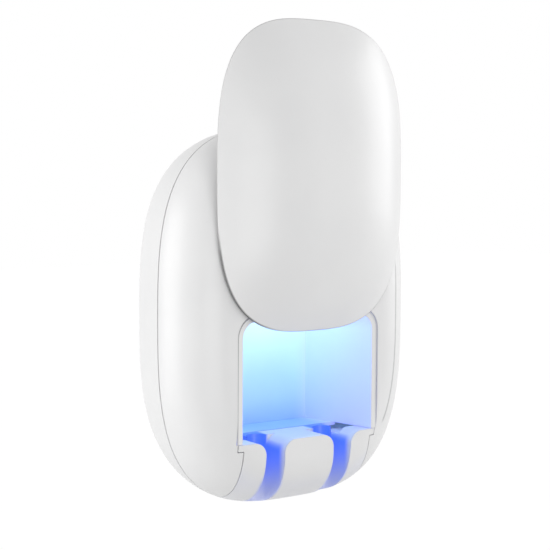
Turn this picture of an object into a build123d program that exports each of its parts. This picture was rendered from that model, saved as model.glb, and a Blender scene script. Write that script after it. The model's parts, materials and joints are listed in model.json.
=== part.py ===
from build123d import *
import math
import os

os.makedirs("parts", exist_ok=True)

# All sizes are in millimetres. The wall is the plane Y = 0, the front faces -Y
# and +Z is up. A "depth" is a distance from the wall, measured towards the front.

# Body shell
body_width = 82.8
body_height = 108.8
outline_power = 3.0
outline_points = 28
shell_wall = 2.0
wall_gap = 1.0
rear_depth = 21.0
front_depth = 15.0
rear_curve_radius = 41.0
rear_edge_radius = 5.0
parting_gap = 0.4
gasket_inset = 0.8
gasket_width = 1.0

# Depths that follow from them
rear_face = wall_gap
parting = rear_face + rear_depth
front_face = parting + front_depth
parting_back = parting - parting_gap / 2
parting_front = parting + parting_gap / 2

# Wall plate and the hooks that the body hangs on
pad_thickness = 1.0
plate_width = 44.0
plate_height = 52.0
plate_thickness = 2.0
plate_corner = 6.0
plate_clearance = 0.4
hook_width = 9.0
hook_spacing = 26.0
hook_height = 4.5
hook_thickness = 2.4
hook_stem = 2.6
hook_level = 0.0
hook_gap = 0.3
lift_travel = 6.0
screw_spacing = 38.0
screw_hole = 4.2
screw_head = 8.0
screw_sink = 1.2
floor_wall = 2.0
pocket_floor = pad_thickness + plate_thickness + plate_clearance
inner_floor = pocket_floor + floor_wall

# Bay and its liner
bay_width = 45.2
bay_top = 0.0
bay_bottom = -34.0
bay_depth = 24.6
bay_corner = 4.6
liner_wall = 1.0
side_taper = 5.6
roof_taper = 2.0
flange_width = 1.9
flange_thickness = 0.8
flange_recess = 0.4
fit_gap = 0.2

# Brush holder under the bay
holder_width = 44.4
tab_width = 48.0
tab_height = 2.0
tab_depth = 7.0
slot_spacing = 23.6
slot_width = 6.4
slot_depth = 13.0
slot_funnel = 3.8
slot_flare = 3.8
holder_gap = 0.1
tab_inner_width = 30.0
floor_lap = 0.3

# Sliding cover
cover_width = 64.2
cover_height = 87.4
cover_power = 3.1
cover_wall = 1.8
cover_rise = 9.2
cover_crown = 3.0
cover_gap = 0.8
cover_level = 40.3
cover_travel = 36.0

# Carriage between the cover and the rails
blade_spacing = 26.0
blade_width = 3.2
blade_height = 3.2
blade_clearance = 0.3
guide_margin = 0.8
stud_x = 9.0
stud_z = 6.0
stud_radius = 2.4
stud_length = 5.8
carriage_rise = 0.4
carriage_height = 22.0
carriage_thickness = 1.6
carriage_margin = 5.0
carriage_corner = 4.0
bar_depth = 4.0
bar_thickness = 2.2
bar_height = 4.4
bar_end = 3.2
slide_gap = 0.3
rail_wall = 1.3
rail_lip = 1.4
rail_reach = 2.4
pad_radius = 2.0
pad_gap = 0.25
pad_inset = 3.0
thread_radius = 0.85
thread_gap = 0.05
thread_length = 4.0
slide_head_radius = 1.6
slide_head_height = 0.8
magnet_radius = 1.2
magnet_thickness = 1.2
magnet_clearance = 0.05

# Screws that hold the two shells
boss_radius = 3.0
boss_x = 27.4
boss_z = 32.0
pilot_radius = 1.3
shank_radius = 1.25
shank_clearance = 1.6
head_radius = 2.2
head_height = 1.8
head_well = 3.0
boss_length = 7.6
thread_end = 0.6

# Electronics
board_thickness = 1.6
board_width = 48.0
board_height = 34.0
board_level = 25.0
board_corner = 2.0
board_stand = 2.4
post_radius = 2.5
post_x = 20.0
post_z = 13.0
cell_radius = 7.0
cell_length = 44.0
cell_level = 31.0
cell_neck = 2.6
cell_cap = 1.2
cradle_wall = 1.2
cradle_length = 32.0
cradle_gap = 0.2
uv_board_width = 36.0
uv_board_depth = 8.0
uv_board_thickness = 1.0
led_gap = 0.3
window_width = 28.0
window_depth = 5.0
window_frame = 1.2
window_thickness = 0.8
window_back = 22.0
window_seat = 1.0
led_size = 3.5
led_height = 0.9
led_spacing = 11.0
led_count = 3
usb_width = 8.94
usb_height = 3.26
usb_length = 7.3
usb_wall = 0.3
usb_tongue = 0.7
usb_depth = 12.5
usb_level = 52.3
usb_back = 1.0
usb_board_lift = 4.0
usb_board_width = 22.0
usb_board_height = 8.3
usb_rib_width = 2.0
usb_rib_x = 8.0
usb_recess = 0.6
usb_clearance = 0.2

# Power button and status light on the right flank
button_level = 20.0
button_depth = 13.0
button_length = 9.0
button_width = 4.6
button_proud = 0.7
button_travel = 0.6
button_clearance = 0.15
button_flange = 1.0
button_flange_thickness = 0.8
button_stem_radius = 1.2
button_flange_gap = 0.3
button_frame = 2.0
button_frame_depth = 4.3
switch_x = 18.2
switch_size = 6.0
switch_height = 4.2
plunger_radius = 1.4
plunger_length = 0.8
plunger_gap = 0.3
light_level = 29.0
light_radius = 1.2
light_clearance = 0.05
light_head_gap = 1.5
light_sunk = 0.3
light_head_radius = 1.9
light_head_height = 0.8


def outlinePoints(half_width, half_height, power, count):
    points = []
    for i in range(count):
        angle = 2 * math.pi * i / count
        c, s = math.cos(angle), math.sin(angle)
        reach = (abs(c) ** power + abs(s) ** power) ** (-1 / power)
        points.append((half_width * reach * c, half_height * reach * s))
    return points


def outlineSketch(depth, half_width, half_height, power):
    with BuildSketch(Plane.XZ.offset(depth)) as outline:
        with BuildLine():
            Spline(*outlinePoints(half_width, half_height, power, outline_points), periodic=True)
        make_face()
    return outline.sketch


def rearInset(behind):
    return rear_curve_radius - math.sqrt(rear_curve_radius**2 - behind**2)


def rearBody(wall, back_depth):
    half_width = body_width / 2 - wall
    half_height = body_height / 2 - wall
    steps = 4
    sections = []
    for i in range(steps + 1):
        depth = parting_back - (parting_back - back_depth) * i / steps
        inset = rearInset(parting - depth)
        sections.append(outlineSketch(depth, half_width - inset, half_height - inset, outline_power))
    return loft(sections)


def frontBody(wall):
    radius = front_depth - wall
    steps = 7
    sections = [
        outlineSketch(parting_front, body_width / 2 - wall, body_height / 2 - wall, outline_power)
    ]
    for i in range(1, steps + 1):
        angle = math.pi / 2 * i / steps
        inset = wall + radius * (1 - math.cos(angle))
        depth = parting + radius * math.sin(angle)
        sections.append(
            outlineSketch(depth, body_width / 2 - inset, body_height / 2 - inset, outline_power)
        )
    return loft(sections)


def coverBody(wall):
    half_width = cover_width / 2 - wall
    half_height = cover_height / 2 - wall
    back_depth = front_face + cover_gap
    rise = cover_rise - wall
    sections = []
    for share in (1.0, 0.94, 0.84, 0.7, 0.52, 0.34, 0.18, 0.06):
        depth = back_depth + rise * (1 - share**cover_crown)
        sections.append(outlineSketch(depth, half_width * share, half_height * share, cover_power))
    return loft(sections).moved(Location((0, 0, cover_level)))


def flankAt(level):
    inset = rearInset(parting - button_depth)
    share = abs(level) / (body_height / 2 - inset)
    return (body_width / 2 - inset) * (1 - share**outline_power) ** (1 / outline_power)


# Wall plate: a flat plate with two upturned hooks and two countersunk screw holes
with BuildPart() as wall_plate:
    with BuildSketch(Plane.XZ.offset(pad_thickness)):
        RectangleRounded(plate_width, plate_height, plate_corner)
    extrude(amount=plate_thickness)
    hook_base = pad_thickness + plate_thickness
    hook_reach = inner_floor + slide_gap + hook_thickness - hook_base
    for side in (-1, 1):
        with BuildSketch(Plane.YZ.offset(side * hook_spacing / 2 - hook_width / 2)):
            with BuildLine():
                Polyline(
                    (-hook_base, hook_level),
                    (-hook_base, hook_level - hook_stem),
                    (-hook_base - hook_reach, hook_level - hook_stem),
                    (-hook_base - hook_reach, hook_level + hook_height),
                    (-hook_base - hook_reach + hook_thickness, hook_level + hook_height),
                    (-hook_base - hook_reach + hook_thickness, hook_level),
                    close=True,
                )
            make_face()
        extrude(amount=hook_width)
    with BuildSketch(Plane.XZ.offset(hook_base)):
        with Locations((0, screw_spacing / 2), (0, -screw_spacing / 2)):
            Circle(screw_hole / 2)
    extrude(amount=-plate_thickness, mode=Mode.SUBTRACT)
    with Locations(
        Plane((0, -hook_base, screw_spacing / 2), x_dir=(1, 0, 0), z_dir=(0, -1, 0)),
        Plane((0, -hook_base, -screw_spacing / 2), x_dir=(1, 0, 0), z_dir=(0, -1, 0)),
    ):
        Cone(
            screw_hole / 2,
            screw_head / 2,
            screw_sink,
            align=(Align.CENTER, Align.CENTER, Align.MAX),
            mode=Mode.SUBTRACT,
        )
wall_plate.part.label = "wall_plate"
export_step(wall_plate.part, "parts/wall_plate.step")

# Foam pad between the plate and the wall
with BuildPart() as adhesive_pad:
    with BuildSketch(Plane.XZ):
        RectangleRounded(plate_width - 2, plate_height - 2, plate_corner - 1)
        with Locations((0, screw_spacing / 2), (0, -screw_spacing / 2)):
            Circle(screw_hole / 2, mode=Mode.SUBTRACT)
    extrude(amount=pad_thickness)
adhesive_pad.part.label = "adhesive_pad"
export_step(adhesive_pad.part, "parts/adhesive_pad.step")

# Rear shell: a deep tray that narrows to the wall, with the pocket for the plate
boss_places = [(x, z) for x in (-boss_x, boss_x) for z in (-boss_z, boss_z)]
frame_face = flankAt(button_level) - button_frame_depth
socket_mouth = -usb_level
usb_board_top = socket_mouth + usb_length + usb_board_lift
usb_board_back = usb_depth - usb_height / 2 - board_thickness

rear_outer = rearBody(0, rear_face)
rear_inner = rearBody(shell_wall, inner_floor)
with BuildPart() as rear_shell:
    add(rear_outer)
    fillet(rear_shell.faces().sort_by(Axis.Y)[-1].edges(), radius=rear_edge_radius)
    add(rear_inner, mode=Mode.SUBTRACT)
    with BuildSketch(Plane.XZ.offset(parting_back)):
        with Locations(*boss_places):
            Circle(boss_radius)
    extrude(amount=-(parting_back - inner_floor))
    with BuildSketch(Plane.XZ.offset(inner_floor)):
        with Locations(*[(x, board_level + z) for x in (-post_x, post_x) for z in (-post_z, post_z)]):
            Circle(post_radius)
    extrude(amount=board_stand)
    with BuildSketch(Plane.XZ.offset(inner_floor)):
        with Locations((0, usb_board_top - usb_board_height / 2)):
            with GridLocations(2 * usb_rib_x, usb_board_height, 2, 1):
                Rectangle(usb_rib_width, usb_board_height - usb_rib_width)
    extrude(amount=usb_board_back - inner_floor)
    with BuildSketch(Plane.YZ.offset(frame_face)):
        with Locations((-button_depth, button_level)):
            Rectangle(
                button_width + 2 * (button_flange + button_frame / 2),
                button_length + 2 * (button_flange + button_frame / 2),
            )
    extrude(amount=button_frame)
    with BuildSketch(Plane.XZ.offset(rear_face)):
        with Locations((0, -lift_travel / 2)):
            RectangleRounded(
                plate_width + 2 * plate_clearance,
                plate_height + 2 * plate_clearance + lift_travel,
                plate_corner,
            )
    extrude(amount=pocket_floor - rear_face, mode=Mode.SUBTRACT)
    window_height = hook_stem + hook_gap + lift_travel + 2 * slide_gap
    window_middle = hook_level + hook_gap - window_height / 2
    with BuildSketch(Plane.XZ.offset(pocket_floor)):
        with Locations((-hook_spacing / 2, window_middle), (hook_spacing / 2, window_middle)):
            Rectangle(hook_width + 2 * plate_clearance, window_height)
    extrude(amount=floor_wall, mode=Mode.SUBTRACT)
    with BuildSketch(Plane.XZ.offset(rear_face)):
        with Locations(*boss_places):
            Circle(head_radius + fit_gap)
    extrude(amount=head_well, mode=Mode.SUBTRACT)
    with BuildSketch(Plane.XZ.offset(rear_face)):
        with Locations(*boss_places):
            Circle(shank_clearance)
    extrude(amount=parting_back - rear_face, mode=Mode.SUBTRACT)
    with BuildSketch(Plane.YZ.offset(body_width / 2)):
        with Locations((-button_depth, button_level)):
            SlotOverall(button_length + 2 * button_clearance, button_width + 2 * button_clearance, rotation=90)
        with Locations((-button_depth, light_level)):
            Circle(light_radius + light_clearance)
    extrude(amount=-body_width / 4, mode=Mode.SUBTRACT)
    with BuildSketch(Plane.XY.offset(-body_height / 2)):
        with Locations((0, -usb_depth)):
            SlotOverall(usb_width + 2 * usb_clearance, usb_height + 2 * usb_clearance)
    extrude(amount=body_height / 8, mode=Mode.SUBTRACT)
rear_shell.part.label = "rear_shell"
export_step(rear_shell.part, "parts/rear_shell.step")

# Front shell: the domed face with the bay, the notch for the holder and two guide slots
recess_top = bay_top + flange_width + fit_gap
flange_back = front_face - flange_recess - flange_thickness
mouth_top = bay_top + liner_wall + fit_gap
tab_bottom = bay_bottom - tab_height
guide_height = blade_height + cover_travel + 2 * blade_clearance
guide_bottom = recess_top + guide_margin
guide_middle = guide_bottom + guide_height / 2
cavity_floor = front_face - shell_wall
blade_level = guide_bottom + guide_height - blade_clearance - blade_height / 2


def bayOutline(depth, width, top, corner, bottom):
    with BuildSketch(Plane.XZ.offset(depth)) as outline:
        with Locations((0, (top + bottom) / 2)):
            Rectangle(width, top - bottom)
        fillet(outline.vertices().group_by(Axis.Y)[-1], corner)
    return outline.sketch


front_outer = frontBody(0)
front_inner = frontBody(shell_wall)
recess = bayOutline(
    front_face,
    bay_width + 2 * flange_width + 2 * fit_gap,
    recess_top,
    bay_corner + flange_width,
    bay_bottom,
)
mouth = bayOutline(
    front_face,
    bay_width + 2 * liner_wall + 2 * fit_gap,
    mouth_top,
    bay_corner + liner_wall,
    bay_bottom,
)
boss_limit = frontBody(shell_wall / 2)
with BuildPart() as front_bosses:
    with BuildSketch(Plane.XZ.offset(parting_front)):
        with Locations(*boss_places):
            Circle(boss_radius)
    extrude(amount=front_depth)
    add(boss_limit, mode=Mode.INTERSECT)

with BuildPart() as front_shell:
    add(front_outer)
    add(front_inner, mode=Mode.SUBTRACT)
    add(front_bosses.part)
    extrude(recess, amount=-(front_face - flange_back), mode=Mode.SUBTRACT)
    extrude(mouth, amount=-front_depth, mode=Mode.SUBTRACT)
    with BuildSketch(Plane.XZ.offset(front_face)):
        with Locations((0, bay_bottom - tab_height / 2)):
            Rectangle(tab_width + 2 * fit_gap, tab_height + 2 * fit_gap)
        with Locations((0, bay_bottom - body_height / 4)):
            Rectangle(holder_width + 2 * fit_gap, body_height / 2)
        for side in (-1, 1):
            with Locations((side * blade_spacing / 2, guide_middle)):
                Rectangle(blade_width + 2 * blade_clearance, guide_height)
    extrude(amount=-front_depth, mode=Mode.SUBTRACT)
    with BuildSketch(Plane.XZ.offset(parting_front)):
        with Locations(*boss_places):
            Circle(pilot_radius)
    extrude(amount=boss_length, mode=Mode.SUBTRACT)
front_shell.part.label = "front_shell"
export_step(front_shell.part, "parts/front_shell.step")

# Dark gasket in the parting gap, set back from the surface
rings = [
    outlineSketch(parting_back, body_width / 2 - inset, body_height / 2 - inset, outline_power)
    for inset in (gasket_inset, gasket_inset + gasket_width)
]
with BuildPart() as shell_gasket:
    extrude(rings[0], amount=parting_gap)
    extrude(rings[1], amount=parting_gap, mode=Mode.SUBTRACT)
shell_gasket.part.label = "shell_gasket"
export_step(shell_gasket.part, "parts/shell_gasket.step")

# Chamber liner: a tapered box, open at the front and under its front part, with a flange
chamber_back = flange_back - bay_depth


def chamberBox(margin, back_depth, mouth_depth):
    sections = []
    for depth in (mouth_depth, back_depth):
        share = (flange_back - depth) / bay_depth
        half_width = bay_width / 2 - side_taper * share + margin
        top = bay_top - roof_taper * share + margin
        sections.append(
            bayOutline(depth, 2 * half_width, top, bay_corner + margin, bay_bottom - margin)
        )
    return loft(sections, ruled=True)


window_centre = window_back + window_depth / 2
window_level = bay_top + liner_wall
led_base = window_level + window_thickness + led_gap
post_pitch = (uv_board_width + window_width) / 2 + window_frame
liner_outer = chamberBox(liner_wall, chamber_back - liner_wall, flange_back)
liner_inner = chamberBox(0, chamber_back, front_face)
flange = bayOutline(
    flange_back,
    bay_width + 2 * flange_width,
    bay_top + flange_width,
    bay_corner + flange_width,
    bay_bottom,
)
with BuildPart() as chamber_liner:
    add(liner_outer)
    extrude(flange, amount=flange_thickness)
    with BuildSketch(Plane.XY.offset(bay_top - roof_taper)):
        with Locations((0, -window_centre)):
            Rectangle(window_width + 2 * window_frame, window_depth + 2 * window_frame)
    extrude(amount=window_level - bay_top + roof_taper)
    with BuildSketch(Plane.XY.offset(bay_top - roof_taper)):
        with Locations((0, -window_centre)):
            with GridLocations(post_pitch, window_depth, 2, 1):
                Rectangle(uv_board_width - post_pitch, window_depth)
    extrude(amount=led_base + led_height - bay_top + roof_taper)
    add(liner_inner, mode=Mode.SUBTRACT)
    with BuildSketch(Plane.XY.offset(bay_bottom)):
        with Locations((0, -(parting_front - floor_lap + front_face) / 2)):
            Rectangle(body_width, front_face - parting_front + floor_lap)
    extrude(amount=-2 * liner_wall, mode=Mode.SUBTRACT)
    with BuildSketch(Plane.XY.offset(bay_top - 2 * roof_taper)):
        with Locations((0, -window_centre)):
            Rectangle(window_width - 2 * window_seat, window_depth - 2 * window_seat)
    extrude(amount=3 * roof_taper, mode=Mode.SUBTRACT)
chamber_liner.part.label = "chamber_liner"
export_step(chamber_liner.part, "parts/chamber_liner.step")

# Brush holder: the lower lip of the face, with two open slots that widen at the top
holder_top = bay_bottom - holder_gap
tab_middle = (holder_top + tab_bottom) / 2
slot_back = front_face - slot_depth
with BuildPart() as brush_holder:
    add(front_outer)
    with BuildSketch(Plane.XZ.offset(parting_front)):
        Rectangle(2 * body_width, 2 * body_height)
        with Locations((0, tab_bottom - body_height / 4)):
            Rectangle(holder_width, body_height / 2, mode=Mode.SUBTRACT)
        with Locations((0, tab_middle)):
            Rectangle(tab_inner_width, holder_top - tab_bottom, mode=Mode.SUBTRACT)
    extrude(amount=front_depth - tab_depth, mode=Mode.SUBTRACT)
    with BuildSketch(Plane.XZ.offset(front_face)):
        Rectangle(2 * body_width, 2 * body_height)
        with Locations((0, tab_bottom - body_height / 4)):
            Rectangle(holder_width, body_height / 2, mode=Mode.SUBTRACT)
        with Locations((0, tab_middle)):
            Rectangle(tab_width, holder_top - tab_bottom, mode=Mode.SUBTRACT)
    extrude(amount=-tab_depth, mode=Mode.SUBTRACT)
    for side in (-1, 1):
        middle = side * slot_spacing / 2
        half = slot_width / 2
        with BuildSketch(Plane.XZ.offset(front_face)):
            with BuildLine():
                Line((middle + half, holder_top - slot_funnel), (middle + half, -body_height / 2))
                Line((middle + half, -body_height / 2), (middle - half, -body_height / 2))
                Line((middle - half, -body_height / 2), (middle - half, holder_top - slot_funnel))
                CenterArc((middle - half - slot_flare, holder_top - slot_funnel), slot_flare, 0, 90)
                Line(
                    (middle - half - slot_flare, holder_top - slot_funnel + slot_flare),
                    (middle + half + slot_flare, holder_top - slot_funnel + slot_flare),
                )
                CenterArc((middle + half + slot_flare, holder_top - slot_funnel), slot_flare, 90, 90)
            make_face()
        extrude(amount=-(slot_depth - half), mode=Mode.SUBTRACT)
        with BuildSketch(Plane.XY.offset(holder_top)):
            with Locations((middle, -(slot_back + half))):
                Circle(half)
        extrude(amount=-body_height / 2, mode=Mode.SUBTRACT)
brush_holder.part.label = "brush_holder"
export_step(brush_holder.part, "parts/brush_holder.step")

# Sliding cover: a thin crowned shell
carriage_front = front_face + cover_gap + carriage_rise + carriage_thickness
cover_outer = coverBody(0)
cover_inner = coverBody(cover_wall)
with BuildPart() as sliding_cover:
    add(cover_outer)
    add(cover_inner, mode=Mode.SUBTRACT)
    with BuildSketch(Plane.XZ.offset(carriage_front)):
        with Locations(*[(x, blade_level + z) for x in (-stud_x, stud_x) for z in (-stud_z, stud_z)]):
            Circle(stud_radius)
            Circle(thread_radius + thread_gap, mode=Mode.SUBTRACT)
    extrude(amount=stud_length)
sliding_cover.part.label = "sliding_cover"
export_step(sliding_cover.part, "parts/sliding_cover.step")

# Carriage: a plate behind the cover with two blades that pass through the guide slots
carriage_back = carriage_front - carriage_thickness
carriage_width = blade_spacing + blade_width + 2 * carriage_margin
bar_front = front_face - bar_depth
blade_x = blade_spacing / 2
blade_places = [(-blade_x, blade_level), (blade_x, blade_level)]
stud_places = [(x, blade_level + z) for x in (-stud_x, stud_x) for z in (-stud_z, stud_z)]
with BuildPart() as cover_carriage:
    with BuildSketch(Plane.XZ.offset(carriage_back)):
        with Locations((0, blade_level)):
            RectangleRounded(carriage_width, carriage_height, carriage_corner)
        with Locations(*stud_places):
            Circle(thread_radius + thread_gap, mode=Mode.SUBTRACT)
    extrude(amount=carriage_thickness)
    with BuildSketch(Plane.XZ.offset(bar_front)):
        with Locations(*blade_places):
            Rectangle(blade_width, blade_height)
    extrude(amount=carriage_back - bar_front)
    with BuildSketch(Plane.XZ.offset(bar_front)):
        with Locations(*blade_places):
            Circle(thread_radius + thread_gap)
    extrude(amount=thread_length, mode=Mode.SUBTRACT)
cover_carriage.part.label = "cover_carriage"
export_step(cover_carriage.part, "parts/cover_carriage.step")

# Screws that hold the cover to the carriage, with thin heads behind the plate
with BuildPart() as cover_screws:
    with BuildSketch(Plane.XZ.offset(carriage_back)):
        with Locations(*stud_places):
            Circle(slide_head_radius)
    extrude(amount=-slide_head_height)
    with BuildSketch(Plane.XZ.offset(carriage_back)):
        with Locations(*stud_places):
            Circle(thread_radius)
    extrude(amount=carriage_thickness + thread_length)
cover_screws.part.label = "cover_screws"
export_step(cover_screws.part, "parts/cover_screws.step")

# Slide bar inside the shell, screwed to the blades, with a pocket for the magnet
bar_back = bar_front - bar_thickness
bar_length = blade_spacing + blade_width + 2 * bar_end
with BuildPart() as slide_bar:
    with BuildSketch(Plane.XZ.offset(bar_back)):
        with Locations((0, blade_level)):
            Rectangle(bar_length, bar_height)
        with Locations(*blade_places):
            Circle(thread_radius + thread_gap, mode=Mode.SUBTRACT)
    extrude(amount=bar_thickness)
    with BuildSketch(Plane.XZ.offset(bar_back)):
        with Locations((0, blade_level)):
            Circle(magnet_radius + magnet_clearance)
    extrude(amount=magnet_thickness, mode=Mode.SUBTRACT)
slide_bar.part.label = "slide_bar"
export_step(slide_bar.part, "parts/slide_bar.step")

# Magnet disc that parks the cover at the end of its travel
with BuildPart() as cover_magnet:
    with BuildSketch(Plane.XZ.offset(bar_back)):
        with Locations((0, blade_level)):
            Circle(magnet_radius)
    extrude(amount=magnet_thickness)
cover_magnet.part.label = "cover_magnet"
export_step(cover_magnet.part, "parts/cover_magnet.step")

# Screws that hold the slide bar to the blades
with BuildPart() as slide_screws:
    with BuildSketch(Plane.XZ.offset(bar_back)):
        with Locations(*blade_places):
            Circle(slide_head_radius)
    extrude(amount=-slide_head_height)
    with BuildSketch(Plane.XZ.offset(bar_back)):
        with Locations(*blade_places):
            Circle(thread_radius)
    extrude(amount=bar_thickness + thread_length - thread_gap)
slide_screws.part.label = "slide_screws"
export_step(slide_screws.part, "parts/slide_screws.step")

# Low-friction pads between the carriage plate and the face
pad_x = carriage_width / 2 - pad_inset
pad_z = carriage_height / 2 - pad_inset
with BuildPart() as glide_pads:
    with BuildSketch(Plane.XZ.offset(carriage_back)):
        with Locations(*[(x, blade_level + z) for x in (-pad_x, pad_x) for z in (-pad_z, pad_z)]):
            Circle(pad_radius)
    extrude(amount=-(carriage_back - front_face - pad_gap))
glide_pads.part.label = "glide_pads"
export_step(glide_pads.part, "parts/glide_pads.step")

# Guide rails: L-shaped strips on the inside of the face that hold the ends of the bar
rail_x = bar_length / 2 + slide_gap
rail_bottom = recess_top
rail_top = guide_bottom + guide_height
rail_deep = bar_back - slide_gap - rail_lip
for name, side in (("guide_rail_left", -1), ("guide_rail_right", 1)):
    with BuildPart() as guide_rail:
        with BuildSketch(Plane.XY.offset(rail_bottom)):
            with BuildLine():
                Polyline(
                    (side * rail_x, -cavity_floor),
                    (side * (rail_x + rail_wall), -cavity_floor),
                    (side * (rail_x + rail_wall), -rail_deep),
                    (side * (rail_x - rail_reach), -rail_deep),
                    (side * (rail_x - rail_reach), -rail_deep - rail_lip),
                    (side * rail_x, -rail_deep - rail_lip),
                    close=True,
                )
            make_face()
        extrude(amount=rail_top - rail_bottom)
        add(front_inner, mode=Mode.INTERSECT)
    guide_rail.part.label = name
    export_step(guide_rail.part, f"parts/{name}.step")

# Ultraviolet lamps: a strip board on the roof of the chamber, three packages and a window
with BuildPart() as uv_window:
    with BuildSketch(Plane.XY.offset(window_level)):
        with Locations((0, -window_centre)):
            Rectangle(window_width, window_depth)
    extrude(amount=window_thickness)
uv_window.part.label = "uv_window"
export_step(uv_window.part, "parts/uv_window.step")

with BuildPart() as uv_leds:
    with BuildSketch(Plane.XY.offset(led_base)):
        with Locations((0, -window_centre)):
            with GridLocations(led_spacing, led_size, led_count, 1):
                Rectangle(led_size, led_size)
    extrude(amount=led_height)
uv_leds.part.label = "uv_leds"
export_step(uv_leds.part, "parts/uv_leds.step")

with BuildPart() as uv_board:
    with BuildSketch(Plane.XY.offset(led_base + led_height)):
        with Locations((0, -window_centre)):
            Rectangle(uv_board_width, uv_board_depth)
    extrude(amount=uv_board_thickness)
uv_board.part.label = "uv_board"
export_step(uv_board.part, "parts/uv_board.step")

# Control board on four posts of the rear shell
board_back = inner_floor + board_stand
board_front = board_back + board_thickness
with BuildPart() as control_board:
    with BuildSketch(Plane.XZ.offset(board_back)):
        with Locations((0, board_level)):
            RectangleRounded(board_width, board_height, board_corner)
    extrude(amount=board_thickness)
control_board.part.label = "control_board"
export_step(control_board.part, "parts/control_board.step")

# Battery cell and the saddle that holds it on the board
cradle_bore = cell_radius + cradle_gap
cell_depth = board_front + cradle_wall + cradle_bore
with BuildPart() as battery_cell:
    with BuildSketch(Plane.YZ.offset(-cell_length / 2)):
        with Locations((-cell_depth, cell_level)):
            Circle(cell_radius)
    extrude(amount=cell_length)
    with BuildSketch(Plane.YZ.offset(cell_length / 2)):
        with Locations((-cell_depth, cell_level)):
            Circle(cell_neck)
    extrude(amount=cell_cap)
battery_cell.part.label = "battery_cell"
export_step(battery_cell.part, "parts/battery_cell.step")

with BuildPart() as battery_cradle:
    with BuildSketch(Plane.YZ.offset(-cradle_length / 2)):
        with Locations((-(board_front + cell_depth) / 2, cell_level)):
            Rectangle(cell_depth - board_front, 2 * (cradle_bore + cradle_wall))
        with Locations((-cell_depth, cell_level)):
            Circle(cradle_bore, mode=Mode.SUBTRACT)
    extrude(amount=cradle_length)
battery_cradle.part.label = "battery_cradle"
export_step(battery_cradle.part, "parts/battery_cradle.step")

# Charging socket and its small board at the bottom of the rear shell
with BuildPart() as usb_socket:
    with BuildSketch(Plane.XY.offset(socket_mouth)):
        with Locations((0, -usb_depth)):
            SlotOverall(usb_width, usb_height)
            SlotOverall(usb_width - 2 * usb_wall, usb_height - 2 * usb_wall, mode=Mode.SUBTRACT)
    extrude(amount=usb_length)
    with BuildSketch(Plane.XY.offset(socket_mouth + usb_length)):
        with Locations((0, -usb_depth)):
            SlotOverall(usb_width, usb_height)
    extrude(amount=-usb_back)
    with BuildSketch(Plane.XY.offset(socket_mouth + usb_length)):
        with Locations((0, -usb_depth)):
            Rectangle(usb_width * 3 / 4, usb_tongue)
    extrude(amount=-(usb_length - usb_recess))
usb_socket.part.label = "usb_socket"
export_step(usb_socket.part, "parts/usb_socket.step")

with BuildPart() as usb_board:
    with BuildSketch(Plane.XZ.offset(usb_board_back)):
        with Locations((0, usb_board_top - usb_board_height / 2)):
            Rectangle(usb_board_width, usb_board_height)
    extrude(amount=board_thickness)
usb_board.part.label = "usb_board"
export_step(usb_board.part, "parts/usb_board.step")

# Power button: an oval cap with a flange behind its frame and a stem towards the switch
flange_face = frame_face - button_flange_gap
plunger_end = switch_x + switch_height + plunger_length
stem_end = plunger_end + plunger_gap + button_travel
with BuildPart() as power_button:
    with BuildSketch(Plane.YZ.offset(flange_face)):
        with Locations((-button_depth, button_level)):
            SlotOverall(button_length, button_width, rotation=90)
    extrude(amount=flankAt(button_level) + button_proud - flange_face)
    fillet(power_button.faces().sort_by(Axis.X)[-1].edges(), button_proud * 0.7)
    with BuildSketch(Plane.YZ.offset(flange_face)):
        with Locations((-button_depth, button_level)):
            SlotOverall(button_length + 2 * button_flange, button_width + 2 * button_flange, rotation=90)
    extrude(amount=-button_flange_thickness)
    with BuildSketch(Plane.YZ.offset(stem_end)):
        with Locations((-button_depth, button_level)):
            Circle(button_stem_radius)
    extrude(amount=flange_face - button_flange_thickness - stem_end)
power_button.part.label = "power_button"
export_step(power_button.part, "parts/power_button.step")

# Tactile switch that faces the button, standing on the front of the control board
switch_depth = board_front + switch_size / 2
with BuildPart() as button_switch:
    with BuildSketch(Plane.YZ.offset(switch_x)):
        with Locations((-switch_depth, button_level)):
            Rectangle(switch_size, switch_size)
    extrude(amount=switch_height)
    with BuildSketch(Plane.YZ.offset(switch_x + switch_height)):
        with Locations((-button_depth, button_level)):
            Circle(plunger_radius)
    extrude(amount=plunger_length)
button_switch.part.label = "button_switch"
export_step(button_switch.part, "parts/button_switch.step")

# Status light: a small clear pipe through the flank above the button
light_face = flankAt(light_level) - shell_wall - light_head_gap
with BuildPart() as status_light:
    with BuildSketch(Plane.YZ.offset(light_face)):
        with Locations((-button_depth, light_level)):
            Circle(light_head_radius)
    extrude(amount=-light_head_height)
    with BuildSketch(Plane.YZ.offset(light_face)):
        with Locations((-button_depth, light_level)):
            Circle(light_radius)
    extrude(amount=shell_wall + light_head_gap - light_sunk)
status_light.part.label = "status_light"
export_step(status_light.part, "parts/status_light.step")

# Screws that join the shells, sunk in wells in the back
screw_base = rear_face + head_well
with BuildPart() as shell_screws:
    with BuildSketch(Plane.XZ.offset(screw_base)):
        with Locations(*boss_places):
            Circle(head_radius)
    extrude(amount=-head_height)
    with BuildSketch(Plane.XZ.offset(screw_base)):
        with Locations(*boss_places):
            Circle(shank_radius)
    extrude(amount=parting_front + boss_length - thread_end - screw_base)
shell_screws.part.label = "shell_screws"
export_step(shell_screws.part, "parts/shell_screws.step")
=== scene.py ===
import json
import math

import bpy
from mathutils import Matrix, Vector

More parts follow.
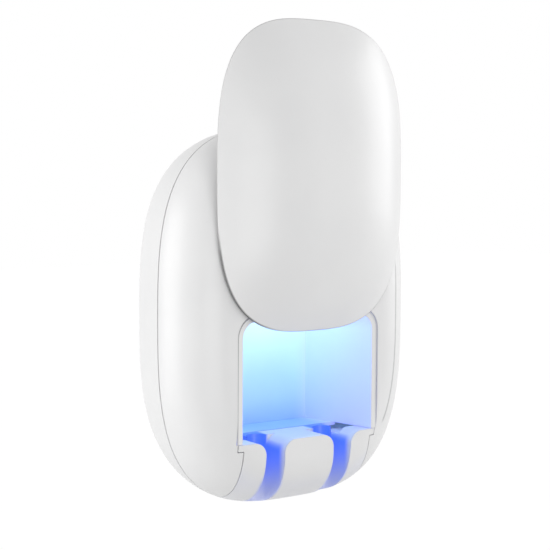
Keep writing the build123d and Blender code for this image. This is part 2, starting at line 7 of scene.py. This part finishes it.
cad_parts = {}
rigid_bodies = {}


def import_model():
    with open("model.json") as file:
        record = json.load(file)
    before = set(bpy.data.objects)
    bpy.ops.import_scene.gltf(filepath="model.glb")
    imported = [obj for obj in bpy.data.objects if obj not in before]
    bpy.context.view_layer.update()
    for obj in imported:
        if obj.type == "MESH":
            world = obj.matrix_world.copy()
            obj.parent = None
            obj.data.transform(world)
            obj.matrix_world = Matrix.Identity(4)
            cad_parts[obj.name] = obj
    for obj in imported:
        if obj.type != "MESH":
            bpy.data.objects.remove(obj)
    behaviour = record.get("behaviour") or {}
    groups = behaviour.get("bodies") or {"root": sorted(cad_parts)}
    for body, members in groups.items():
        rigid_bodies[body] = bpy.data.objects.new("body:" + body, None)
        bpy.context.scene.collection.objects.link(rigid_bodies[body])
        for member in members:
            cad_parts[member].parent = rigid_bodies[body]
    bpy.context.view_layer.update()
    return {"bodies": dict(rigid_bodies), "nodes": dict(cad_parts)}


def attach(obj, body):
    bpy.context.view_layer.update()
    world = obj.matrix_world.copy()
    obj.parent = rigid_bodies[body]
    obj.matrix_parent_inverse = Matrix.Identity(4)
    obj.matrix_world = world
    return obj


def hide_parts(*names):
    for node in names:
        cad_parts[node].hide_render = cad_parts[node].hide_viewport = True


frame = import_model()
nodes = frame["nodes"]
mm = 0.001
print("frame loaded,", len(nodes), "nodes")

# camera, in the model's millimetres and in degrees
cameraSizes = {
    "place": (-223.1, -340.2, 39.7),
    "yaw": -34.79,
    "pitch": 4.16,
    "roll": 0.28,
    "lens": 86.98,
    "sensor": 36,
    "nearest": 10,
}


def makeCamera(sizes):
    data = bpy.data.cameras.new("camera")
    data.lens = sizes["lens"]
    data.sensor_width = sizes["sensor"]
    data.clip_start = sizes["nearest"] * mm
    camera = bpy.data.objects.new("camera", data)
    bpy.context.scene.collection.objects.link(camera)
    yaw = math.radians(sizes["yaw"])
    pitch = math.radians(sizes["pitch"])
    roll = math.radians(sizes["roll"])
    level = Vector((-math.sin(yaw), math.cos(yaw), 0))
    look = level * math.cos(pitch) - Vector((0, 0, math.sin(pitch)))
    right = look.cross(Vector((0, 0, 1))).normalized()
    up = right.cross(look)
    side = right * math.cos(roll) + up * math.sin(roll)
    top = up * math.cos(roll) - right * math.sin(roll)
    turn = Matrix((side, top, -look)).transposed().to_4x4()
    camera.matrix_world = Matrix.Translation(Vector(sizes["place"]) * mm) @ turn
    bpy.context.scene.camera = camera


makeCamera(cameraSizes)
print("camera placed")


# shader maths: a wire is one socket's value, and sums on wires add Math nodes
class Wire:
    def __init__(self, tree, socket):
        self.tree = tree
        self.socket = socket

    def maths(self, operation, other, flip=False):
        step = self.tree.nodes.new("ShaderNodeMath")
        step.operation = operation
        pair = [other, self] if flip else [self, other]
        for place, value in enumerate(pair):
            feed(self.tree, step.inputs[place], value)
        return Wire(self.tree, step.outputs[0])

    def __add__(self, other):
        return self.maths("ADD", other)

    def __radd__(self, other):
        return self.maths("ADD", other)

    def __sub__(self, other):
        return self.maths("SUBTRACT", other)

    def __rsub__(self, other):
        return self.maths("SUBTRACT", other, flip=True)

    def __mul__(self, other):
        return self.maths("MULTIPLY", other)

    def __rmul__(self, other):
        return self.maths("MULTIPLY", other)

    def __truediv__(self, other):
        return self.maths("DIVIDE", other)

    def __pow__(self, other):
        return self.maths("POWER", other)

    def size(self):
        return self.maths("ABSOLUTE", 0.0)

    def above(self, other):
        return self.maths("MAXIMUM", other)

    # from 0 to 1, onto a band of this width about its middle
    def around(self, middle, width):
        return self * width + (middle - width / 2)

    # from 0 to 1, onto least to 1
    def lifted(self, least):
        return self * (1.0 - least) + least


def feed(tree, socket, value):
    if isinstance(value, Wire):
        tree.links.new(value.socket, socket)
    else:
        socket.default_value = value


class Network:
    def __init__(self, tree):
        self.tree = tree
        self.tree.nodes.clear()

    def node(self, kind, settings=None, values=None, out=0):
        made = self.tree.nodes.new(kind)
        for key, value in (settings or {}).items():
            if key == "stops":
                ramp = made.color_ramp
                while len(ramp.elements) < len(value):
                    ramp.elements.new(0.5)
                for element, (place, colour) in zip(ramp.elements, value):
                    element.position = place
                    element.color = colour
            else:
                setattr(made, key, value)
        for key, value in (values or {}).items():
            feed(self.tree, made.inputs[key], value)
        return Wire(self.tree, made.outputs[out]) if made.outputs else made

    # 1 where the camera, a mirror or a clear piece looks, 0 for plain light
    def seenRays(self):
        path = self.node("ShaderNodeLightPath").socket.node.outputs
        names = ("Is Camera Ray", "Is Glossy Ray", "Is Transmission Ray")
        camera, glossy, clear = [Wire(self.tree, path[name]) for name in names]
        return camera.above(glossy).above(clear)


shaderInputs = {"colour": "Base Color", "glow": "Emission Color"}


class Finish(Network):
    def __init__(self, name):
        self.material = bpy.data.materials.new(name)
        self.material.use_nodes = True
        super().__init__(self.material.node_tree)
        shader = self.node("ShaderNodeBsdfPrincipled")
        self.inputs = shader.socket.node.inputs
        self.output = self.node("ShaderNodeOutputMaterial", values={"Surface": shader})
        self.surface = shader

    def put(self, **values):
        for key, value in values.items():
            name = shaderInputs.get(key, key.replace("_", " "))
            feed(self.tree, self.inputs[name], value)

    def place(self):
        return self.node("ShaderNodeTexCoord", out="Object")

    def axes(self):
        split = self.node("ShaderNodeSeparateXYZ", values={"Vector": self.place()})
        return [Wire(self.tree, socket) for socket in split.socket.node.outputs]

    def noise(self, scale, detail=3.0, rough=0.5):
        values = {"Vector": self.place(), "Scale": scale, "Detail": detail, "Roughness": rough}
        return self.node("ShaderNodeTexNoise", values=values)

    def step(self, wire, low, high):
        values = {"Value": wire, "From Min": low, "From Max": high}
        return self.node("ShaderNodeMapRange", {"interpolation_type": "SMOOTHSTEP"}, values)

    # a Mix node names its sockets alike: 0 is the factor, 6, 7 and 2 are the colours
    def mix(self, factor, first, second):
        values = {0: factor, 6: first, 7: second}
        return self.node("ShaderNodeMix", {"data_type": "RGBA"}, values, out=2)


def rgb(red, green, blue):
    return (red, green, blue, 1.0)


def darker(colour, share):
    return rgb(*[value * share for value in colour])


black = rgb(0.0, 0.0, 0.0)

# white mouldings: a faint cast in the colour, slight polish marks, soft edges
whiteLooks = {
    "shell white": {
        "pale": (0.81, 0.81, 0.81),
        "dim": (0.788, 0.788, 0.79),
        "rough": 0.38,
        "coat": 0.06,
    },
    "front white": {
        "pale": (0.81, 0.81, 0.81),
        "dim": (0.788, 0.788, 0.79),
        "rough": 0.38,
        "coat": 0.06,
    },
    "cover white": {
        "pale": (0.81, 0.81, 0.81),
        "dim": (0.79, 0.79, 0.792),
        "rough": 0.36,
        "coat": 0.1,
    },
    "inner white": {
        "pale": (0.72, 0.72, 0.72),
        "dim": (0.68, 0.68, 0.69),
        "rough": 0.5,
        "coat": 0.0,
    },
    "button white": {
        "pale": (0.76, 0.765, 0.775),
        "dim": (0.73, 0.735, 0.745),
        "rough": 0.3,
        "coat": 0.2,
    },
}
# a grain is a noise's scale and detail, and its roughness where that isn't a half. A fade is the
# two levels of the noise that a patch fades between
whiteGrain = {
    "cloud": (38.0, 3.0),
    "cloudFade": (0.35, 0.65),
    "fleck": (900.0, 2.0),
    "fleckFade": (0.66, 0.74),
    "fleckShare": 0.25,
    "fleckShade": 0.97,
    "polish": (140.0, 4.0, 0.6),
    "polishWidth": 0.08,
    "coatRough": 0.2,
    "bend": 1.47,
}
softEdges = {
    "radius": 0.25,
    "samples": 4,
    "grain": (1500.0, 2.0),
    "grainShare": 0.6,
    "fineGrain": (6000.0, 1.0),
    "strength": 0.05,
    "depth": 0.02,
}


def softNormal(finish):
    sizes = softEdges
    values = {"Radius": sizes["radius"] * mm}
    edge = finish.node("ShaderNodeBevel", {"samples": sizes["samples"]}, values)
    share = sizes["grainShare"]
    coarse = finish.noise(*sizes["grain"]) * share
    fine = finish.noise(*sizes["fineGrain"]) * (1.0 - share)
    values = {
        "Height": coarse + fine,
        "Strength": sizes["strength"],
        "Distance": sizes["depth"] * mm,
        "Normal": edge,
    }
    return finish.node("ShaderNodeBump", values=values)


# two soft dark lines of painted shade, in the model's millimetres: a painted dark reflection along
# the right shoulder, and a painted shadow of the gap under the cover's lower left edge. A depth is
# the line's middle, its full half-width and its faded one
paintedLineSizes = {
    "front white": {
        "depth": (-35.7, 0.06, 0.24),
        "side": (22.0, 25.0),
        "low": (-33.4, -31.6),
        "high": (13.0, 17.0),
        "strength": 0.38,
    },
    "cover white": {
        "depth": (-37.8, 0.12, 0.36),
        "side": (-9.0, -21.0),
        "low": (-9.0, -8.0),
        "high": (17.0, 27.0),
        "strength": 0.8,
    },
}
paintedLineColour = rgb(0.08, 0.08, 0.085)


def paintedDarkLine(finish, sizes):
    x, y, z = finish.axes()
    middle, inner, outer = [v * mm for v in sizes["depth"]]
    near, far = [v * mm for v in sizes["side"]]
    line = 1.0 - finish.step((y - middle).size(), inner, outer)
    if near < far:
        line = line * finish.step(x, near, far)
    else:
        line = line * finish.step(0.0 - x, -near, -far)
    line = line * finish.step(z, *[v * mm for v in sizes["low"]])
    line = line * (1.0 - finish.step(z, *[v * mm for v in sizes["high"]]))
    return line * sizes["strength"]


def makeWhite(name):
    look = whiteLooks[name]
    grain = whiteGrain
    finish = Finish(name)
    cloud = finish.step(finish.noise(*grain["cloud"]), *grain["cloudFade"])
    fleck = finish.step(finish.noise(*grain["fleck"]), *grain["fleckFade"]) * grain["fleckShare"]
    colour = finish.mix(cloud, rgb(*look["dim"]), rgb(*look["pale"]))
    colour = finish.mix(fleck, colour, darker(look["dim"], grain["fleckShade"]))
    # painted dark line: a painted reflection on the front shell, a painted shadow on the cover
    if name in paintedLineSizes:
        colour = finish.mix(paintedDarkLine(finish, paintedLineSizes[name]), colour, paintedLineColour)
    polish = finish.noise(*grain["polish"]).around(look["rough"], grain["polishWidth"])
    finish.put(colour=colour, Roughness=polish, IOR=grain["bend"], Normal=softNormal(finish))
    finish.put(Coat_Weight=look["coat"], Coat_Roughness=grain["coatRough"])
    return finish


# the liner with painted light: a painted glow, cyan-white under the hidden lamps and blue towards
# the floor and the rims, over a base colour tinted blue. Its frame on the face is plain white, with
# a painted seam shadow round it
linerSizes = {
    "top": 0.0,
    "floor": -34.0,
    "rim": (12.0, 21.5),
    "rimShare": 0.75,
    "strength": 1.0,
    "face": (-36.55, -36.2),
    "side": 18.0,
    "roof": -4.6,
    "seamShadow": (6.05, 6.2),
    "seamShade": (0.25, 0.35),
    "seamRight": (12.0, 0.8),
}
linerGrain = {
    "drift": (55.0, 2.0),
    "driftWidth": 0.16,
    "cloud": (60.0, 3.0),
    "polish": (200.0, 3.0),
    "polishWidth": 0.1,
    "rough": 0.35,
}
linerColours = {
    "plain": rgb(0.38, 0.52, 0.74),
    "pale": rgb(0.44, 0.60, 0.80),
    "paintedRimGlow": rgb(0.26, 0.22, 0.46),
    "seamShadow": rgb(0.12, 0.12, 0.13),
}
paintedGlowStops = [
    (0.0, rgb(0.01, 0.05, 0.48)),
    (0.14, rgb(0.03, 0.10, 0.46)),
    (0.4, rgb(0.11, 0.23, 0.42)),
    (0.72, rgb(0.27, 0.40, 0.36)),
    (1.0, rgb(0.46, 0.50, 0.42)),
]


def makeLiner():
    sizes = linerSizes
    grain = linerGrain
    tints = linerColours
    finish = Finish("painted glow liner")
    x, y, z = finish.axes()
    # painted glow: a ramp by height, cyan-white at the roof and deep blue at the floor, bluer at
    # the rims
    lift = (z - sizes["floor"] * mm) / ((sizes["top"] - sizes["floor"]) * mm)
    drift = finish.noise(*grain["drift"]).around(0.0, grain["driftWidth"])
    height = (lift + drift).above(0.0)
    light = finish.node("ShaderNodeValToRGB", {"stops": paintedGlowStops}, {"Fac": height})
    inside, outside = sizes["rim"]
    rim = finish.step(x.size(), inside * mm, outside * mm)
    light = finish.mix(rim * sizes["rimShare"], light, tints["paintedRimGlow"])
    # the base colour is tinted blue as well, standing in for the blue light
    colour = finish.mix(finish.noise(*grain["cloud"]), tints["plain"], tints["pale"])
    front, behind = sizes["face"]
    face = 1.0 - finish.step(y, front * mm, behind * mm)
    # painted seam shadow round the frame on the face, strongest at the top, faint at the floor and
    # on the right
    across = (x.size() - sizes["side"] * mm).above(0.0)
    higher = (z - sizes["roof"] * mm).above(0.0)
    reach = (across * across + higher * higher) ** 0.5
    inner, outer = sizes["seamShadow"]
    least, rise = sizes["seamShade"]
    fade, share = sizes["seamRight"]
    seamShadow = finish.step(reach, inner * mm, outer * mm) * face
    seamShadow = seamShadow * (lift * rise + least) * (1.0 - finish.step(x, 0.0, fade * mm) * share)
    colour = finish.mix(face, colour, rgb(*whiteLooks["shell white"]["pale"]))
    colour = finish.mix(seamShadow, colour, tints["seamShadow"])
    light = finish.mix(face, light, black)
    finish.put(colour=colour, glow=light, Emission_Strength=sizes["strength"])
    polish = finish.noise(*grain["polish"]).around(grain["rough"], grain["polishWidth"])
    finish.put(Roughness=polish, Normal=softNormal(finish))
    return finish


# the holder: white outside, with painted blue light in its slots and on its top, as a blue tint and
# a painted glow
holderSizes = {
    "depth": (-36.4, -33.5),
    "height": (-52.0, -36.0),
    "slot": 11.8,
    "slotHalf": (3.0, 4.2),
    "besideSlots": 0.1,
    "atFoot": 0.25,
    "tintShare": 0.9,
    "strength": 0.5,
}
holderGrain = {
    "cloud": (38.0, 3.0),
    "polish": (140.0, 4.0),
    "polishWidth": 0.08,
    "rough": 0.36,
}
holderPaintedLight = {"slot": rgb(0.04, 0.14, 0.62), "glow": rgb(0.01, 0.10, 0.9)}


def makeHolder():
    sizes = holderSizes
    grain = holderGrain
    look = whiteLooks["shell white"]
    finish = Finish("holder white")
    x, y, z = finish.axes()
    front, back = sizes["depth"]
    low, high = sizes["height"]
    near, far = sizes["slotHalf"]
    # painted blue light from the bay: strongest in the slots, higher up and behind the front face
    depth = finish.step(y, front * mm, back * mm)
    slots = 1.0 - finish.step((x.size() - sizes["slot"] * mm).size(), near * mm, far * mm)
    lift = finish.step(z, low * mm, high * mm)
    paintedBlueLight = depth * slots.lifted(sizes["besideSlots"]) * lift.lifted(sizes["atFoot"])
    colour = finish.mix(finish.noise(*grain["cloud"]), rgb(*look["dim"]), rgb(*look["pale"]))
    colour = finish.mix(paintedBlueLight * sizes["tintShare"], colour, holderPaintedLight["slot"])
    light = finish.mix(paintedBlueLight, black, holderPaintedLight["glow"])
    finish.put(colour=colour, glow=light, Emission_Strength=sizes["strength"])
    polish = finish.noise(*grain["polish"]).around(grain["rough"], grain["polishWidth"])
    finish.put(Roughness=polish, Normal=softNormal(finish))
    finish.put(Coat_Weight=look["coat"], Coat_Roughness=whiteGrain["coatRough"])
    return finish


# plain inner and hardware finishes: colour, darker colour, roughness, metal, scale of grain
hardwareLooks = {
    "seal grey": ((0.15, 0.15, 0.155), (0.11, 0.11, 0.115), 0.7, 0.0, 700.0),
    "pad foam": ((0.62, 0.62, 0.60), (0.52, 0.52, 0.50), 0.95, 0.0, 1400.0),
    "zinc steel": ((0.62, 0.62, 0.64), (0.48, 0.48, 0.50), 0.32, 1.0, 500.0),
    "plated sheet": ((0.66, 0.66, 0.68), (0.55, 0.55, 0.57), 0.26, 1.0, 900.0),
    "nickel": ((0.72, 0.70, 0.68), (0.60, 0.58, 0.56), 0.18, 1.0, 400.0),
    "glide plastic": ((0.85, 0.85, 0.83), (0.78, 0.78, 0.76), 0.45, 0.0, 300.0),
    "green laminate": ((0.03, 0.20, 0.08), (0.02, 0.14, 0.06), 0.4, 0.0, 600.0),
    "cell sleeve": ((0.05, 0.16, 0.45), (0.04, 0.12, 0.36), 0.3, 0.0, 160.0),
    "switch black": ((0.03, 0.03, 0.03), (0.02, 0.02, 0.02), 0.5, 0.0, 400.0),
}
hardwareGrain = {
    "detail": (4.0, 0.6),
    "fade": (0.35, 0.7),
    "roughWidth": 0.12,
    "wearScale": 0.12,
    "wearDetail": 3.0,
    "wearFade": (0.55, 0.75),
    "wearShare": 0.3,
    "wearShade": 0.8,
    "bumpStrength": 0.15,
    "bumpDepth": 0.05,
}


def makeHardware(name):
    pale, dim, rough, metal, scale = hardwareLooks[name]
    grain = hardwareGrain
    finish = Finish(name)
    patch = finish.step(finish.noise(scale, *grain["detail"]), *grain["fade"])
    wear = finish.noise(scale * grain["wearScale"], grain["wearDetail"])
    wear = finish.step(wear, *grain["wearFade"])
    colour = finish.mix(patch, rgb(*dim), rgb(*pale))
    colour = finish.mix(wear * grain["wearShare"], colour, darker(dim, grain["wearShade"]))
    values = {
        "Height": patch,
        "Strength": grain["bumpStrength"],
        "Distance": grain["bumpDepth"] * mm,
    }
    bump = finish.node("ShaderNodeBump", values=values)
    finish.put(colour=colour, Roughness=patch.around(rough, grain["roughWidth"]))
    finish.put(Metallic=metal, Normal=bump)
    return finish


lampLook = {
    "grain": (700.0, 2.0),
    "colours": (rgb(0.6, 0.7, 0.9), rgb(0.7, 0.8, 1.0)),
    "glows": (rgb(0.30, 0.50, 1.0), rgb(0.45, 0.70, 1.0)),
    "strength": 2.0,
    "rough": 0.25,
    "roughWidth": 0.1,
}


def makeLamp():
    look = lampLook
    finish = Finish("lamp package")
    grain = finish.noise(*look["grain"])
    light = finish.mix(grain, *look["glows"])
    finish.put(colour=finish.mix(grain, *look["colours"]))
    finish.put(glow=light, Emission_Strength=look["strength"])
    finish.put(Roughness=grain.around(look["rough"], look["roughWidth"]))
    return finish


# the clear window's colour also glows, a painted glow for the lamps behind it; the light pipe's
# glow is off
clearLooks = {
    "clear window": {"tint": (0.7, 0.95, 1.0), "deep": (0.4, 0.7, 1.0), "strength": 0.8},
    "light pipe": {"tint": (0.85, 0.9, 0.92), "deep": (0.7, 0.76, 0.8), "strength": 0.0},
}
clearHaze = {"grain": (260.0, 3.0), "rough": 0.13, "alpha": 0.6, "width": 0.1}


def makeClear(name):
    look = clearLooks[name]
    finish = Finish(name)
    haze = finish.noise(*clearHaze["grain"])
    width = clearHaze["width"]
    colour = finish.mix(haze, rgb(*look["deep"]), rgb(*look["tint"]))
    finish.put(colour=colour, Roughness=haze.around(clearHaze["rough"], width))
    finish.put(Alpha=haze.around(clearHaze["alpha"], width))
    # painted glow in the piece's own colour
    finish.put(glow=colour, Emission_Strength=look["strength"])
    return finish


finishes = {name: makeWhite(name) for name in whiteLooks}
finishes.update({name: makeHardware(name) for name in hardwareLooks})
finishes.update({name: makeClear(name) for name in clearLooks})
finishes["painted glow liner"] = makeLiner()
finishes["holder white"] = makeHolder()
finishes["lamp package"] = makeLamp()
print("finishes made:", len(finishes))

nodeFinish = {
    "wall_plate": "inner white",
    "adhesive_pad": "pad foam",
    "shell_gasket": "seal grey",
    "cover_carriage": "inner white",
    "cover_screws": "zinc steel",
    "slide_bar": "inner white",
    "slide_screws": "zinc steel",
    "cover_magnet": "nickel",
    "glide_pads": "glide plastic",
    "guide_rail_left": "inner white",
    "guide_rail_right": "inner white",
    "shell_screws": "zinc steel",
    "control_board": "green laminate",
    "battery_cell": "cell sleeve",
    "battery_cradle": "inner white",
    "button_switch": "switch black",
    "uv_board": "green laminate",
    "uv_leds": "lamp package",
    "uv_window": "clear window",
    "usb_board": "green laminate",
    "usb_socket": "plated sheet",
    "power_button": "button white",
    "status_light": "light pipe",
}
for name, look in nodeFinish.items():
    for slot in nodes[name].material_slots:
        slot.material = finishes[look].material

# the five mouldings that show: each is a welded, smooth-shaded copy that takes its solid's place
skins = {
    "frontSkin": ("front_shell", "housing", "shell_white", "front white"),
    "rearSkin": ("rear_shell", "housing", "shell_white", "shell white"),
    "coverSkin": ("sliding_cover", "cover", "cover_white", "cover white"),
    "linerSkin": ("chamber_liner", "housing", "liner_white", "painted glow liner"),
    "holderSkin": ("brush_holder", "housing", "shell_white", "holder white"),
}
skinSizes = {"weld": 0.002, "crease": 32.0}


def selectOnly(thing):
    for other in bpy.context.view_layer.objects:
        other.select_set(False)
    thing.select_set(True)
    bpy.context.view_layer.objects.active = thing


def makeSkin(name, node, body, look):
    mesh = nodes[node].data.copy()
    skin = bpy.data.objects.new(name, mesh)
    bpy.context.scene.collection.objects.link(skin)
    selectOnly(skin)
    bpy.ops.object.mode_set(mode="EDIT")
    bpy.ops.mesh.select_all(action="SELECT")
    bpy.ops.mesh.customdata_custom_splitnormals_clear()
    bpy.ops.mesh.remove_doubles(threshold=skinSizes["weld"] * mm)
    bpy.ops.object.mode_set(mode="OBJECT")
    bpy.ops.object.shade_smooth_by_angle(angle=math.radians(skinSizes["crease"]))
    mesh.materials.clear()
    mesh.materials.append(finishes[look].material)
    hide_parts(node)
    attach(skin, body)
    return skin


for name, (node, body, slot, look) in skins.items():
    skin = makeSkin(name, node, body, look)
    print(name, len(skin.data.polygons), "faces")

# lamps of the studio, in metres and watts
studio = {
    "key": {"place": (0.78, -0.28, 0.24), "size": 0.55, "power": 3.1},
    "left": {"place": (-0.75, 0.20, 0.05), "size": 0.6, "power": 3.6},
    "front": {"place": (-0.22, -0.88, -0.06), "size": 0.5, "power": 2.3},
}
aim = Vector((0, -0.03, 0.01))


def makeStudioLamp(name, place, size, power):
    data = bpy.data.lights.new(name, "AREA")
    data.shape = "SQUARE"
    data.size = size
    data.energy = power
    lamp = bpy.data.objects.new(name, data)
    bpy.context.scene.collection.objects.link(lamp)
    lamp.location = place
    lamp.rotation_euler = (aim - Vector(place)).to_track_quat("-Z", "Y").to_euler()


for name, lamp in studio.items():
    makeStudioLamp(name, **lamp)

# the blue light that the hidden lamps throw into the bay, and the little of it behind the holder
bayLamps = {
    "bayLamp0": {"place": (-8.0, -25.0, -4.0), "power": 0.0025, "radius": 2.5},
    "bayLamp1": {"place": (8.0, -25.0, -4.0), "power": 0.0025, "radius": 2.5},
    "bayLamp2": {"place": (25.0, -17.0, -39.0), "power": 0.0006, "radius": 1.0},
}
bayTint = (0.25, 0.55, 1.0)


def makeBayLamp(name, place, power, radius):
    data = bpy.data.lights.new(name, "POINT")
    data.energy = power
    data.shadow_soft_size = radius * mm
    data.color = bayTint
    lamp = bpy.data.objects.new(name, data)
    bpy.context.scene.collection.objects.link(lamp)
    lamp.location = Vector(place) * mm
    lamp.parent = frame["bodies"]["housing"]


for name, lamp in bayLamps.items():
    makeBayLamp(name, **lamp)
print("lamps placed")

# floor and backdrop: pale, and plain white to the camera, with the shadow kept
floorSizes = {"level": -0.32, "width": 9.0, "rough": 0.9, "shadow": 0.05, "shine": 1.04}
floorTint = rgb(0.56, 0.56, 0.56)


def makeFloor():
    sizes = floorSizes
    bpy.ops.mesh.primitive_plane_add(size=sizes["width"], location=(0, 0, sizes["level"]))
    floor = bpy.context.active_object
    floor.name = "floor"
    finish = Finish("floor white")
    finish.put(colour=floorTint, Roughness=sizes["rough"])
    seen = finish.seenRays() * (1.0 - sizes["shadow"])
    shine = finish.node("ShaderNodeEmission", values={"Strength": sizes["shine"]})
    blend = finish.node("ShaderNodeMixShader", values={0: seen, 1: finish.surface, 2: shine})
    feed(finish.tree, finish.output.inputs["Surface"], blend)
    floor.data.materials.append(finish.material)


worldFill = 0.54


def makeWorld():
    world = bpy.data.worlds.new("studio")
    bpy.context.scene.world = world
    world.use_nodes = True
    sky = Network(world.node_tree)
    level = sky.seenRays().lifted(worldFill)
    fill = sky.node("ShaderNodeBackground", values={"Color": rgb(1.0, 1.0, 1.0), "Strength": level})
    sky.node("ShaderNodeOutputWorld", values={"Surface": fill})


makeFloor()
makeWorld()
bpy.context.scene.view_settings.view_transform = "Standard"
print("studio ready")
